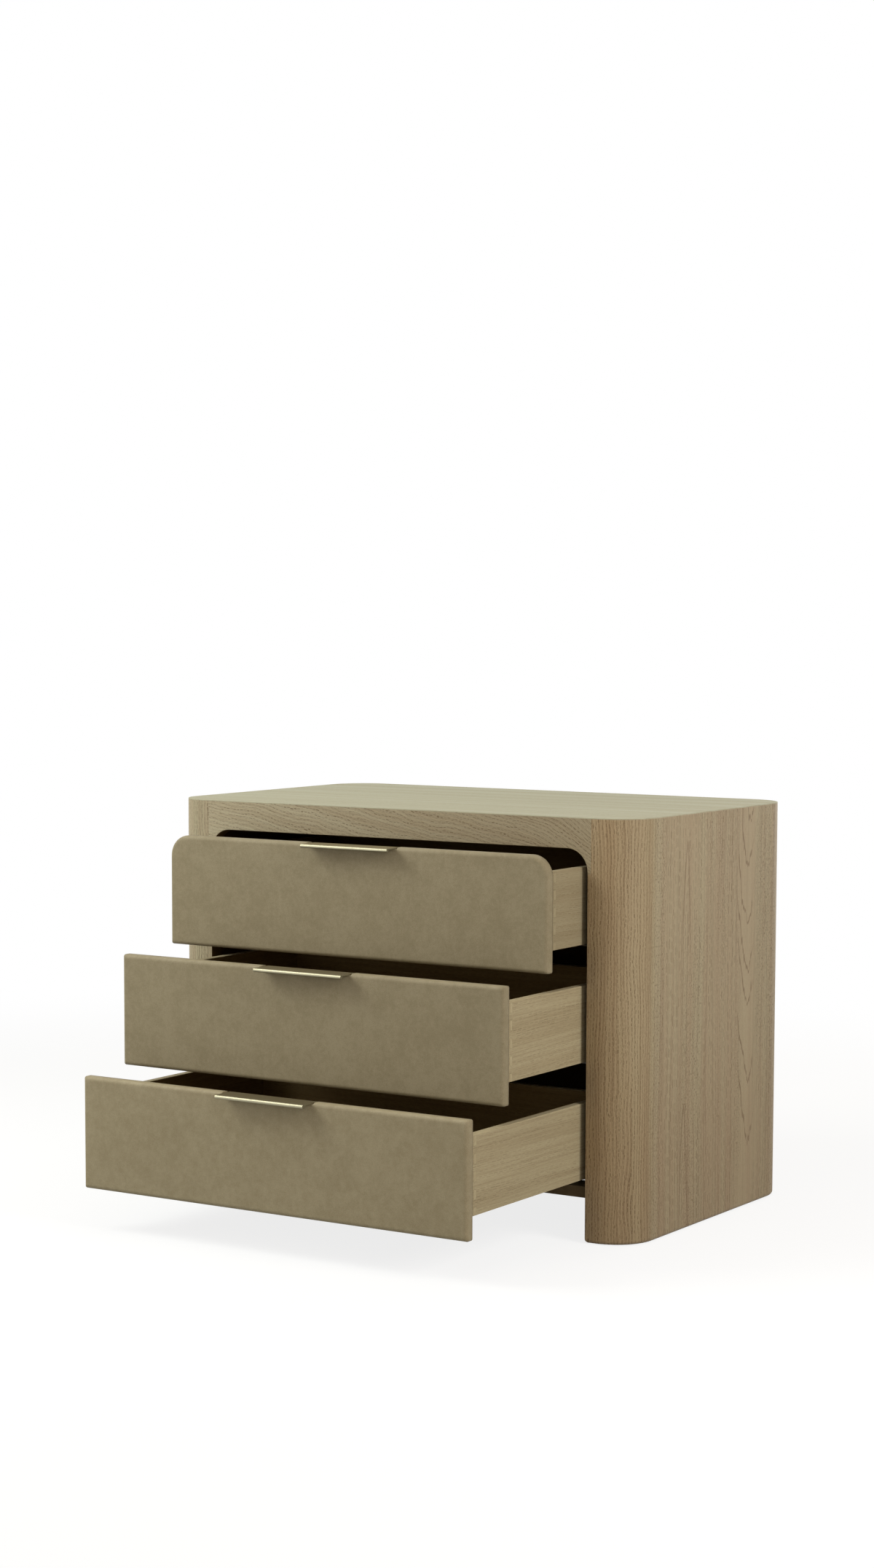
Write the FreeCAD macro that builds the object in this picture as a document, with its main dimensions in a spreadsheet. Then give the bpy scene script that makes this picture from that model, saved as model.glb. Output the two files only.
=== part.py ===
import FreeCAD, Part
import os
import re
import Sketcher

# Three-drawer nightstand: hollow curved sides, a thin veneered top, an arched front rail,
# leather fronts with brass edge pulls, and jointed drawer boxes on telescoping runners.
# Millimetres. X is the width, Y runs from the front to the back and Z is up.
# The origin is on the floor, at the centre of the space that the nightstand takes up
# with its drawers standing open.

SIZES = {
    # case
    "case_width": 750,
    "case_depth": 460,
    "case_height": 560,
    "corner_radius": 58,
    "post_width": 70.4,
    "wall": 20,
    "liner": 15,
    "top_veneer": 1.5,
    "top_core": 22,
    "rail_height": 41.2,
    "rail_lap": 5.4,
    "rail_tip": 2,
    "arch_radius": 30.3,
    "opening_ease": 1,
    "floor_gap": 55,
    "floor_panel": 15,
    "floor_setback": 24,
    "floor_lap": 5,
    "back_panel": 9,
    "back_lap": 8,
    "base_plate": 9,
    "base_rise": 6,
    "batten_height": 35,
    "batten_drop": 8,
    "batten_inset": 62,
    "glide_height": 0.8,
    "glide_radius": 12,
    "glide_stem": 7,
    "glide_inset": 25,
    "glide_setback": 45,
    "foot_ease": 5,
    "fit": 0.3,
    # drawer fronts
    "front_thickness": 12.7,
    "leather": 1.2,
    "edge_round": 5,
    "corner_round": 2.6,
    "side_reveal": 1.9,
    "top_reveal": 1.8,
    "drawer_gap": 4.1,
    "front_foot": 54.5,
    "open_high": 97.2,
    "open_middle": 203.4,
    "open_low": 287.8,
    # pulls
    "pull_length": 138.2,
    "pull_throw": 16.9,
    "pull_plate": 1.6,
    "pull_flange": 16,
    "plate_drop": 0.6,
    "bead_radius": 2.5,
    "notch_gap": 3,
    # drawer boxes
    "box_gap": 8.6,
    "box_rise": 28,
    "box_side": 12,
    "box_front": 19,
    "box_back": 12,
    "box_bottom": 6,
    "bottom_recess": 13,
    "bottom_groove": 6,
    "box_drop": 22,
    "box_ease": 1.5,
    "pin_drop": 1.6,
    "pin_depth": 5.5,
    "pin_height": 12.7,
    "pin_seam": 0.2,
    "tail_pitch": 22.4,
    "tail_root": 10,
    "tail_tip": 14,
    "rear_gap": 57.3,
    # runners
    "runner_drop": 4,
    "runner_steel": 1.5,
    "runner_inset": 3,
    "runner_reach": 23,
    "runner_play": 1,
    "runner_rear_gap": 16,
    "tray_lip": 6,
    "lip_setback": 36,
    "tray_web": 25,
    "middle_height": 7,
    "middle_lead": 36,
    "middle_trail": 24,
    "clip_length": 30,
    "clip_width": 26,
    "clip_height": 7.5,
    "lever_length": 11,
    "lever_reach": 13,
    "lever_height": 3,
    # fasteners
    "screw_radius": 2,
    "screw_head": 4,
    "head_height": 2,
    "screw_bite": 12,
    "back_screw_bite": 8.5,
    "back_screw_margin": 40,
    "runner_screw_rise": 10,
    "runner_screw_start": 74,
    "runner_screw_pitch": 147,
    "front_screw_bite": 9,
    "front_screw_x": 180,
    "front_screw_margin": 12,
    "pull_screw_inset": 20,
    "pull_screw_rise": 6.5,
}

DERIVED = {
    "case_half": "case_width / 2",
    "half_open": "case_half - post_width",
    "case_front": "(open_low + pull_throw + bead_radius) / 2 - case_depth / 2",
    "shell_top": "case_height - top_veneer",
    "core_base": "shell_top - top_core",
    "base_foot": "glide_height + base_rise",
    "liner_foot": "base_foot + base_plate",
    "hollow_radius": "post_width - wall - liner - 3 * fit",
    "arch_top": "case_height - rail_height",
    "rail_foot": "arch_top - arch_radius - rail_tip",
    "glide_x": "half_open + glide_inset",
    "front_half": "half_open - side_reveal",
    "front_height": "(arch_top - top_reveal - 2 * drawer_gap - front_foot) / 3",
    "drawer_step": "front_height + drawer_gap",
    "box_top": "front_height - box_drop",
    "box_height": "box_top - box_rise",
    "box_half": "half_open - box_gap",
    "box_inner": "box_half - box_side",
    "box_end": "case_depth - back_panel - rear_gap",
    "front_joint": "front_thickness + box_front",
    "back_joint": "box_end - box_back",
    "panel_low": "box_rise + bottom_recess",
    "panel_high": "panel_low + box_bottom",
    "runner_end": "case_depth - wall - runner_rear_gap",
    "runner_web": "half_open - runner_steel",
    "tray_inner": "box_inner - runner_reach",
    "middle_outer": "box_inner - runner_inset",
    "middle_inner": "tray_inner + runner_steel + runner_play",
    "leg_outer": "middle_outer - runner_steel - runner_play",
    "leg_inner": "middle_inner + runner_steel + runner_play",
    "clip_edge": "box_inner - fit - clip_width",
    "lever_gap": "(clip_height - lever_height) / 4",
    "notch_half": "pull_length / 2 + notch_gap",
    "plate_top": "front_height - plate_drop",
    "plate_base": "plate_top - pull_plate",
    "flange_foot": "plate_top - pull_flange",
    "screw_hole": "screw_radius + fit",
    "screw_floor": "front_thickness - front_screw_bite",
    "box_middle": "box_rise + box_height / 2",
    "back_seat": "case_depth - back_panel",
    "back_screw_low": "floor_gap + back_screw_margin",
    "back_screw_step": "(shell_top - floor_gap - 2 * back_screw_margin) / 3",
}

os.makedirs("parts", exist_ok=True)
doc = FreeCAD.newDocument("Nightstand")
sheet = doc.addObject("Spreadsheet::Sheet", "Sizes")
for row, (name, value) in enumerate(SIZES.items(), start=1):
    sheet.set(f"A{row}", name)
    sheet.set(f"B{row}", str(value))
    sheet.setAlias(f"B{row}", name)
doc.recompute()


def formula(text):
    """The text with each named size as a cell of the sheet, and each derived one written out."""

    def cell(match):
        name = match.group()
        if name in SIZES:
            return "Sizes." + name
        return "(" + formula(DERIVED[name]) + ")"

    return re.sub(r"[a-z]\w*", cell, text)


def number(text):
    return float(sheet.evalExpression(formula(text)))


def piece(label, y="case_front", z="0"):
    """A new sub-part, placed by its front and its foot. All of them share the middle plane."""
    body = doc.addObject("PartDesign::Body", label)
    body.Label = label
    body.setExpression("Placement.Base.y", formula(y))
    body.setExpression("Placement.Base.z", formula(z))
    return body


def origin_plane(body, plane):
    return next(f for f in body.Origin.OriginFeatures if f.Role == plane + "_Plane")


def new_sketch(body, name, plane, level):
    """A sketch across X, Y or Z at the given level. The XZ plane faces the front, towards -Y."""
    sketch = body.newObject("Sketcher::SketchObject", name + "_sketch")
    sketch.AttachmentSupport = [(origin_plane(body, plane), "")]
    sketch.MapMode = "FlatFace"
    sign = "-" if plane == "XZ" else ""
    sketch.setExpression("AttachmentOffset.Base.z", formula(f"{sign}({level})"))
    return sketch


def hold_point(sketch, index, end, point):
    for kind, text in zip(("DistanceX", "DistanceY"), point):
        rule = Sketcher.Constraint(kind, -1, 1, index, end, number(text))
        spot = sketch.addConstraint(rule)
        sketch.setExpression(f"Constraints[{spot}]", formula(text))


def draw_outline(sketch, points):
    """A closed outline with straight sides."""
    first = sketch.GeometryCount
    count = len(points)
    spots = [FreeCAD.Vector(number(a), number(b), 0) for a, b in points]
    for i in range(count):
        sketch.addGeometry(Part.LineSegment(spots[i], spots[(i + 1) % count]), False)
    for i in range(count):
        after = first + (i + 1) % count
        sketch.addConstraint(Sketcher.Constraint("Coincident", first + i, 2, after, 1))
        hold_point(sketch, first + i, 1, points[i])


def draw_circle(sketch, centre, radius):
    spot = FreeCAD.Vector(number(centre[0]), number(centre[1]), 0)
    ring = Part.Circle(spot, FreeCAD.Vector(0, 0, 1), number(radius))
    index = sketch.addGeometry(ring, False)
    hold_point(sketch, index, 3, centre)
    rule = sketch.addConstraint(Sketcher.Constraint("Radius", index, number(radius)))
    sketch.setExpression(f"Constraints[{rule}]", formula(radius))


def extrude(body, name, plane, low, high, cut, draw):
    """A pad, or a pocket if cut is true, from the low to the high level across the plane."""
    from_high = (plane == "XZ") != cut
    sketch = new_sketch(body, name, plane, high if from_high else low)
    draw(sketch)
    feature = body.newObject("PartDesign::Pocket" if cut else "PartDesign::Pad", name)
    feature.Profile = sketch
    feature.setExpression("Length", formula(f"({high}) - ({low})"))
    return feature


def prism(body, name, plane, outlines, low, high, cut=False):
    def draw(sketch):
        for points in outlines:
            draw_outline(sketch, points)

    return extrude(body, name, plane, low, high, cut, draw)


def rods(body, name, plane, centres, radius, low, high, cut=False):
    def draw(sketch):
        for centre in centres:
            draw_circle(sketch, centre, radius)

    return extrude(body, name, plane, low, high, cut, draw)


def rect(a, b, c, d):
    return [(a, b), (c, b), (c, d), (a, d)]


def minus(text):
    return f"-({text})"


def handed(hand, low, high):
    """A span along X on the right-hand side, or its mirror image on the left."""
    return (low, high) if hand > 0 else (minus(high), minus(low))


def lies_at(edge, x=None, y=None, z=None):
    """True for an edge whose ends all have the given coordinates."""
    return all(
        abs(have - want) < 0.01
        for vertex in edge.Vertexes
        for have, want in zip(vertex.Point, (x, y, z))
        if want is not None
    )


def round_edges(body, name, radius, chosen):
    doc.recompute()
    tip = body.Tip
    edges = [f"Edge{i}" for i, edge in enumerate(tip.Shape.Edges, start=1) if chosen(edge)]
    fillet = body.newObject("PartDesign::Fillet", name)
    fillet.Base = (tip, edges)
    fillet.setExpression("Radius", formula(radius))
    return fillet


def mirror(body, name, originals):
    copy = body.newObject("PartDesign::Mirrored", name)
    copy.Originals = originals
    copy.MirrorPlane = (origin_plane(body, "YZ"), [""])
    body.Tip = copy
    return copy


def pairs(points):
    """Points on the right-hand side, with their mirror images on the left."""
    return points + [(minus(a), b) for a, b in points]


DRAWERS = [
    (1, "open_high", "front_foot + 2 * drawer_step"),
    (2, "open_middle", "front_foot + drawer_step"),
    (3, "open_low", "front_foot"),
]
GLIDES = [("glide_x", "glide_setback"), ("glide_x", "case_depth - glide_setback")]
BACK_SCREWS = [("half_open + back_lap / 2", f"back_screw_low + {i} * back_screw_step") for i in range(4)]
FRONT_SCREW_Z = ["panel_high + front_screw_margin", "box_top - front_screw_margin"]
FRONT_SCREWS = pairs([("front_screw_x", z) for z in FRONT_SCREW_Z])
PULL_SCREWS = pairs([("pull_length / 2 - pull_screw_inset", "flange_foot + pull_screw_rise")])
nodes = []


def runner_screws(lift):
    """Where the three screws of one runner go through its web, as seen from the side."""
    height = f"{lift} + box_rise + runner_screw_rise"
    return [(f"runner_screw_start + {i} * runner_screw_pitch", height) for i in range(3)]


RUNNER_SCREWS = [spot for _, _, lift in DRAWERS for spot in runner_screws(lift)]


def side_shell(label, hand):
    """A hollow side, open towards the inside, with rounded front and rear corners."""
    body = piece(label)
    low, high = handed(hand, "half_open", "case_half")
    prism(body, "post", "XY", [rect(low, "0", high, "case_depth")], "glide_height", "shell_top")
    side = hand * number("case_half")
    round_edges(body, "corner", "corner_radius", lambda e: lies_at(e, x=side) and abs(e.tangentAt(0).z) > 0.9)
    low, high = handed(hand, "half_open", "case_half - wall")
    outline = rect(low, "wall", high, "case_depth - wall")
    prism(body, "hollow", "XY", [outline], "glide_height", "shell_top", cut=True)
    inner = hand * number("case_half - wall")
    near = number("wall")
    far = number("case_depth - wall")
    round_edges(
        body,
        "hollow_corner",
        "hollow_radius",
        lambda e: lies_at(e, x=inner, y=near) or lies_at(e, x=inner, y=far),
    )
    low, high = handed(hand, "half_open", "half_open + rail_lap")
    prism(body, "rail_notch", "XY", [rect(low, "0", high, "wall")], "rail_foot", "shell_top", cut=True)
    low, high = handed(hand, "half_open", "half_open + back_lap")
    outline = rect(low, "back_seat", high, "case_depth")
    prism(body, "back_rabbet", "XY", [outline], "floor_gap", "shell_top", cut=True)
    screws = [(x if hand > 0 else minus(x), z) for x, z in BACK_SCREWS]
    end = "back_seat - back_screw_bite - fit"
    rods(body, "screw_holes", "XZ", screws, "screw_hole", end, "back_seat", cut=True)
    jamb = hand * number("half_open")
    round_edges(body, "jamb", "opening_ease", lambda e: lies_at(e, x=jamb, y=0) and abs(e.tangentAt(0).z) > 0.9)
    foot = number("glide_height")

    def outer_rim(edge):
        middle = edge.CenterOfMass
        inside = abs(middle.x) < abs(inner) + 1 and near - 1 < middle.y < far + 1
        return lies_at(edge, z=foot) and not inside

    round_edges(body, "foot", "foot_ease", outer_rim)
    nodes.append(body)


def liner(label, hand):
    """The flat inner wall of a side, grooved for the floor panel."""
    body = piece(label)
    low, high = handed(hand, "half_open", "half_open + liner")
    outline = rect(low, "wall", high, "case_depth - wall")
    prism(body, "board", "XY", [outline], "liner_foot", "core_base")
    low, high = handed(hand, "half_open", "half_open + floor_lap")
    outline = rect(low, "floor_setback", high, "case_depth - wall")
    prism(body, "groove", "XY", [outline], "floor_gap", "floor_gap + floor_panel", cut=True)
    low, high = handed(hand, "half_open", "half_open + screw_bite + fit")
    rods(body, "screw_holes", "YZ", RUNNER_SCREWS, "screw_hole", low, high, cut=True)
    nodes.append(body)


def blocking(label, hand):
    """Battens that join the liner to the shell behind each runner."""
    body = piece(label)
    low, high = handed(hand, "half_open + liner", "case_half - wall")
    outline = rect(low, "batten_inset", high, "case_depth - batten_inset")
    for index, _, lift in DRAWERS:
        foot = f"{lift} + box_rise - batten_drop"
        prism(body, f"batten_{index}", "XY", [outline], foot, f"{foot} + batten_height")
    nodes.append(body)


def base_plate(label, hand):
    """A board under the liner that closes a hollow side from below."""
    body = piece(label)
    low, high = handed(hand, "half_open", "case_half - wall - fit")
    outline = rect(low, "wall + fit", high, "case_depth - wall - fit")
    prism(body, "board", "XY", [outline], "base_foot", "liner_foot")
    side = hand * number("case_half - wall - fit")
    round_edges(
        body,
        "corner",
        "hollow_radius",
        lambda e: lies_at(e, x=side) and abs(e.tangentAt(0).z) > 0.9,
    )
    stems = [(x if hand > 0 else minus(x), y) for x, y in GLIDES]
    top = "base_foot + glide_stem + fit"
    rods(body, "glide_holes", "XY", stems, "screw_hole", "base_foot", top, cut=True)
    nodes.append(body)


def case_panels():
    body = piece("top_core")
    side = "case_half - wall - fit"
    rear = "half_open - fit"
    shoulder = "case_depth - wall - fit"
    end = "back_seat - fit"
    outline = [
        (minus(side), "wall + fit"),
        (side, "wall + fit"),
        (side, shoulder),
        (rear, shoulder),
        (rear, end),
        (minus(rear), end),
        (minus(rear), shoulder),
        (minus(side), shoulder),
    ]
    prism(body, "board", "XY", [outline], "core_base", "shell_top")
    edge_x = number(side)
    round_edges(
        body,
        "corner",
        "hollow_radius",
        lambda e: abs(e.tangentAt(0).z) > 0.9 and abs(abs(e.CenterOfMass.x) - edge_x) < 0.01,
    )
    nodes.append(body)

    body = piece("top_veneer")
    outline = rect("-(case_half)", "0", "case_half", "case_depth")
    prism(body, "sheet", "XY", [outline], "shell_top", "case_height")
    round_edges(body, "corner", "corner_radius", lambda e: abs(e.tangentAt(0).z) > 0.9)
    top = number("case_height")
    round_edges(body, "arris", "0.5 * top_veneer", lambda e: lies_at(e, z=top))
    nodes.append(body)

    body = piece("front_rail")
    end = "half_open + rail_lap"
    outline = [
        (minus(end), "shell_top"),
        (end, "shell_top"),
        (end, "rail_foot"),
        ("half_open", "rail_foot"),
        ("half_open", "arch_top"),
        ("-(half_open)", "arch_top"),
        ("-(half_open)", "rail_foot"),
        (minus(end), "rail_foot"),
    ]
    prism(body, "arch", "XZ", [outline], "0", "wall")
    height = number("arch_top")
    round_edges(body, "spandrel", "arch_radius", lambda e: lies_at(e, z=height) and abs(e.tangentAt(0).y) > 0.9)
    width = number("half_open")
    foot = number("rail_foot")

    def opening_edge(edge):
        middle = edge.CenterOfMass
        inside = abs(middle.x) < width + 0.01 and middle.z < height + 0.01
        return lies_at(edge, y=0) and inside and not lies_at(edge, z=foot)

    round_edges(body, "arch_edge", "opening_ease", opening_edge)
    nodes.append(body)

    body = piece("floor_panel")
    side = "half_open + floor_lap"
    shoulder = "case_depth - wall"
    end = "back_seat"
    outline = [
        (minus(side), "floor_setback"),
        (side, "floor_setback"),
        (side, shoulder),
        ("half_open", shoulder),
        ("half_open", end),
        ("-(half_open)", end),
        ("-(half_open)", shoulder),
        (minus(side), shoulder),
    ]
    prism(body, "board", "XY", [outline], "floor_gap", "floor_gap + floor_panel")
    nodes.append(body)

    body = piece("back_panel")
    side = "half_open + back_lap"
    outline = rect(minus(side), "floor_gap", side, "shell_top")
    prism(body, "board", "XZ", [outline], "back_seat", "case_depth")
    screws = pairs(BACK_SCREWS)
    seat = "case_depth - head_height - fit"
    rods(body, "screw_holes", "XZ", screws, "screw_hole", "back_seat", "case_depth", cut=True)
    rods(body, "head_seats", "XZ", screws, "screw_head", seat, "case_depth", cut=True)
    nodes.append(body)

    body = piece("back_screws")
    rods(body, "shanks", "XZ", screws, "screw_radius", "back_seat - back_screw_bite", seat)
    rods(body, "heads", "XZ", screws, "screw_head - fit", seat, f"{seat} + head_height")
    nodes.append(body)

    body = piece("floor_glides")
    rods(body, "pads", "XY", pairs(GLIDES), "glide_radius", "0", "base_foot")
    rods(body, "stems", "XY", pairs(GLIDES), "screw_radius", "base_foot", "base_foot + glide_stem")
    nodes.append(body)

    body = piece("runner_screws")
    shanks = rods(body, "shanks", "YZ", RUNNER_SCREWS, "screw_radius", "runner_web", "half_open + screw_bite")
    heads = rods(body, "heads", "YZ", RUNNER_SCREWS, "screw_head", "runner_web - head_height", "runner_web")
    mirror(body, "left_screws", [shanks, heads])
    nodes.append(body)


def cabinet_runners(label, lift):
    """Folded trays that hang on the liners and pass under the drawer sides."""
    body = piece(label)
    base = f"{lift} + box_rise - runner_drop"
    outline = [
        ("half_open", base),
        ("tray_inner", base),
        ("tray_inner", f"{base} + runner_steel"),
        ("runner_web", f"{base} + runner_steel"),
        ("runner_web", f"{base} + tray_web"),
        ("half_open", f"{base} + tray_web"),
    ]
    tray = prism(body, "tray", "XZ", [outline], "floor_setback", "runner_end")
    outline = rect("tray_inner", f"{base} + runner_steel", "tray_inner + runner_steel", f"{base} + tray_lip")
    lip = prism(body, "lip", "XZ", [outline], "lip_setback", "runner_end")
    holes = runner_screws(lift)
    drilled = rods(body, "screw_holes", "YZ", holes, "screw_hole", "runner_web", "half_open", cut=True)
    mirror(body, "left_tray", [tray, lip, drilled])
    nodes.append(body)


def middle_runners(label, opened, lift):
    """Channels that travel half as far as the drawer."""
    body = piece(label, y=f"case_front - {opened} / 2")
    base = f"{lift} + box_rise - runner_drop + runner_steel + fit"
    top = f"{base} + middle_height"
    seat = f"{base} + runner_steel"
    outline = [
        ("middle_outer", base),
        ("middle_inner", base),
        ("middle_inner", top),
        ("middle_inner + runner_steel", top),
        ("middle_inner + runner_steel", seat),
        ("middle_outer - runner_steel", seat),
        ("middle_outer - runner_steel", top),
        ("middle_outer", top),
    ]
    span = ("floor_setback + middle_lead", "runner_end - middle_trail")
    rail = prism(body, "rail", "XZ", [outline], *span)
    mirror(body, "left_rail", [rail])
    nodes.append(body)


def drawer_runners(label, place):
    """Hat-shaped rails that carry the drawer bottom."""
    body = piece(label, *place)
    top = "panel_low"
    under = "panel_low - runner_steel"
    toe = "box_rise - runner_drop + 2 * runner_steel + 2 * fit"
    outer = "box_inner - runner_inset / 2"
    inner = "tray_inner + runner_play"
    outline = [
        (outer, top),
        (inner, top),
        (inner, under),
        ("leg_inner", under),
        ("leg_inner", toe),
        ("leg_inner + runner_steel", toe),
        ("leg_inner + runner_steel", under),
        ("leg_outer - runner_steel", under),
        ("leg_outer - runner_steel", toe),
        ("leg_outer", toe),
        ("leg_outer", under),
        (outer, under),
    ]
    rail = prism(body, "rail", "XZ", [outline], "front_joint + clip_length", "box_end")
    mirror(body, "left_rail", [rail])
    nodes.append(body)


def lock_clips(label, place):
    """Catches behind the box front, each with a lever for a finger."""
    body = piece(label, *place)
    foot = "panel_low - clip_height"
    outline = rect("clip_edge", "front_joint", "box_inner - fit", "front_joint + clip_length")
    catch = prism(body, "catch", "XY", [outline], foot, "panel_low")
    near = "front_joint + (clip_length - lever_length) / 4"
    outline = rect("clip_edge - lever_reach", near, "clip_edge", f"{near} + lever_length")
    lever = prism(body, "lever", "XY", [outline], f"{foot} + lever_gap", f"{foot} + lever_gap + lever_height")
    mirror(body, "left_clip", [catch, lever])
    nodes.append(body)


def tails(joint, tip):
    """Dovetails from the joint line to their wider tips, seen from the side, as many as fit."""
    count = int(number("(box_height - tail_tip) / tail_pitch")) + 1
    outlines = []
    for i in range(count):
        middle = f"box_middle + {i - (count - 1) / 2} * tail_pitch"
        outlines.append(
            [
                (joint, f"{middle} - tail_root / 2"),
                (tip, f"{middle} - tail_tip / 2"),
                (tip, f"{middle} + tail_tip / 2"),
                (joint, f"{middle} + tail_root / 2"),
            ]
        )
    return outlines


def pins(seam):
    """Rectangular pins at the rear of the box front, or their mortises with a seam around them.

    They are seen from the side, from the top down. The lowest one ends at the lower edge of the box.
    """
    count = int(number("(box_height - pin_drop - pin_height) / tail_pitch")) + 1
    near = f"front_joint - pin_depth - {seam}"
    far = f"front_joint + {seam}"
    outlines = []
    for i in range(count):
        top = f"box_top - pin_drop - {i} * tail_pitch"
        outlines.append(rect(near, f"{top} - pin_height - {seam}", far, f"{top} + {seam}"))
    top = f"box_top - pin_drop - {count} * tail_pitch"
    if number(f"{top} - box_rise") > 3:
        outlines.append(rect(near, "box_rise", far, f"{top} + {seam}"))
    return outlines


def box_front(label, place):
    body = piece(label, *place)
    outline = rect("-(box_inner)", "box_rise", "box_inner", "box_top")
    prism(body, "board", "XZ", [outline], "front_thickness", "front_joint")
    outline = rect("-(box_inner)", "panel_low", "box_inner", "panel_high")
    prism(body, "groove", "XZ", [outline], "front_joint - bottom_groove", "front_joint", cut=True)
    rods(body, "screw_holes", "XZ", FRONT_SCREWS, "screw_hole", "front_thickness", "front_joint", cut=True)
    top = number("box_top")
    rear = number("front_joint")
    round_edges(body, "ease", "box_ease", lambda e: lies_at(e, y=rear, z=top))
    tongues = prism(body, "pins", "YZ", pins("0"), "box_inner", "box_half")
    mirror(body, "left_pins", [tongues])
    nodes.append(body)


def box_back(label, place):
    """The rear board stands on the bottom panel, which slides in under it."""
    body = piece(label, *place)
    outline = rect("-(box_half)", "panel_high", "box_half", "box_top")
    prism(body, "board", "XZ", [outline], "back_joint", "box_end")
    joint = tails("back_joint", "box_end")
    sockets = prism(body, "sockets", "YZ", joint, "box_inner", "box_half", cut=True)
    mirror(body, "left_sockets", [sockets])
    top = number("box_top")
    round_edges(body, "ease", "box_ease", lambda e: lies_at(e, z=top) and abs(e.tangentAt(0).x) > 0.9)
    nodes.append(body)


def box_side(label, place, hand):
    body = piece(label, *place)
    low, high = handed(hand, "box_inner", "box_half")
    outline = [
        ("front_thickness", "box_rise"),
        ("box_end", "box_rise"),
        ("box_end", "panel_high"),
        ("back_joint", "panel_high"),
        ("back_joint", "box_top"),
        ("front_thickness", "box_top"),
    ]
    prism(body, "board", "YZ", [outline], low, high)
    prism(body, "rear_tails", "YZ", tails("back_joint", "box_end"), low, high)
    top = number("box_top")
    round_edges(body, "ease", "box_ease", lambda e: lies_at(e, z=top) and abs(e.tangentAt(0).y) > 0.9)
    prism(body, "mortises", "YZ", pins("pin_seam"), low, high, cut=True)
    low, high = handed(hand, "box_inner", "box_inner + bottom_groove")
    outline = rect("front_joint", "panel_low", "box_end", "panel_high")
    prism(body, "groove", "YZ", [outline], low, high, cut=True)
    nodes.append(body)


def box_bottom(label, place):
    body = piece(label, *place)
    side = "box_inner + bottom_groove"
    near = "front_joint - bottom_groove"
    outline = [
        ("-(box_inner)", near),
        ("box_inner", near),
        ("box_inner", "front_joint"),
        (side, "front_joint"),
        (side, "box_end"),
        (minus(side), "box_end"),
        (minus(side), "front_joint"),
        ("-(box_inner)", "front_joint"),
    ]
    prism(body, "panel", "XY", [outline], "panel_low", "panel_high")
    nodes.append(body)


def front_blank(label, place, inset, arched):
    """A front board with soft edges, notched at the top for the pull."""
    body = piece(label, *place)
    side = f"front_half - {inset}"
    high = f"front_height - {inset}"
    prism(body, "board", "XZ", [rect(minus(side), inset, side, high)], inset, "front_thickness")
    top = number(high)
    foot = number(inset)
    if arched:
        radius = f"arch_radius - side_reveal - {inset}"
        round_edges(body, "arch", radius, lambda e: lies_at(e, z=top) and abs(e.tangentAt(0).y) > 0.9)
    rim = f"edge_round - {inset}"
    round_edges(body, "rim", rim, lambda e: lies_at(e, y=foot))
    reach = number(rim)
    width = number(side)

    def corner(edge):
        """The short edges at a square corner: the straight one and the mitre before it."""
        middle = edge.CenterOfMass
        low = middle.z - foot < reach
        near = abs(middle.x) > width - reach and (low or top - middle.z < reach and not arched)
        return near and max(abs(edge.tangentAt(t).y) for t in edge.ParameterRange) > 0.2

    round_edges(body, "corner", f"corner_round - {inset}", corner)
    outline = rect("-(notch_half)", "plate_base", "notch_half", "front_height")
    prism(body, "notch", "XZ", [outline], "0", "front_thickness", cut=True)
    return body


def drawer_front(stem, place, arched):
    """The core board, drilled for its screws, and the leather that covers it."""
    blank = front_blank(stem + "_front_blank", place, "leather", arched)
    cover = front_blank(stem + "_front_cover", place, "0", arched)
    drills = piece(stem + "_front_drills", *place)
    depth = ("screw_floor - fit", "front_thickness + fit")
    rods(drills, "front_screws", "XZ", FRONT_SCREWS, "screw_hole", *depth)
    rods(drills, "pull_screws", "XZ", PULL_SCREWS, "screw_hole", *depth)
    core = doc.addObject("Part::Cut", stem + "_front_core")
    core.Base = blank
    core.Tool = drills
    leather = doc.addObject("Part::Cut", stem + "_front_leather")
    leather.Base = cover
    leather.Tool = blank
    nodes.append(core)
    nodes.append(leather)


def pull(label, place):
    """An edge pull: a plate over the top of the front, a bead before it and a flange behind."""
    body = piece(label, *place)
    half = "pull_length / 2"
    rear = "front_thickness + pull_plate"
    outline = [
        ("-(pull_throw)", "plate_top"),
        (rear, "plate_top"),
        (rear, "flange_foot"),
        ("front_thickness", "flange_foot"),
        ("front_thickness", "plate_base"),
        ("-(pull_throw)", "plate_base"),
    ]
    prism(body, "plate", "YZ", [outline], minus(half), half)
    bead = ("-(pull_throw)", "plate_top - bead_radius")
    rods(body, "bead", "YZ", [bead], "bead_radius", minus(half), half)
    rods(body, "screw_holes", "XZ", PULL_SCREWS, "screw_hole", "front_thickness", rear, cut=True)
    nodes.append(body)

    body = piece(label + "_screws", *place)
    rods(body, "shanks", "XZ", PULL_SCREWS, "screw_radius", "screw_floor", rear)
    rods(body, "heads", "XZ", PULL_SCREWS, "screw_head", rear, f"{rear} + head_height")
    nodes.append(body)


def front_screws(label, place):
    body = piece(label, *place)
    rods(body, "shanks", "XZ", FRONT_SCREWS, "screw_radius", "screw_floor", "front_joint")
    rods(body, "heads", "XZ", FRONT_SCREWS, "screw_head", "front_joint", "front_joint + head_height")
    nodes.append(body)


def drawer(index, opened, lift):
    stem = f"drawer_{index}"
    place = (f"case_front - {opened}", lift)
    drawer_front(stem, place, index == 1)
    pull(stem + "_pull", place)
    box_front(stem + "_box_front", place)
    box_side(stem + "_side_left", place, -1)
    box_side(stem + "_side_right", place, 1)
    box_back(stem + "_box_back", place)
    box_bottom(stem + "_bottom", place)
    front_screws(stem + "_front_screws", place)
    drawer_runners(stem + "_runners", place)
    lock_clips(stem + "_lock_clips", place)
    middle_runners(f"middle_runners_{index}", opened, lift)
    cabinet_runners(f"cabinet_runners_{index}", lift)


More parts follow.
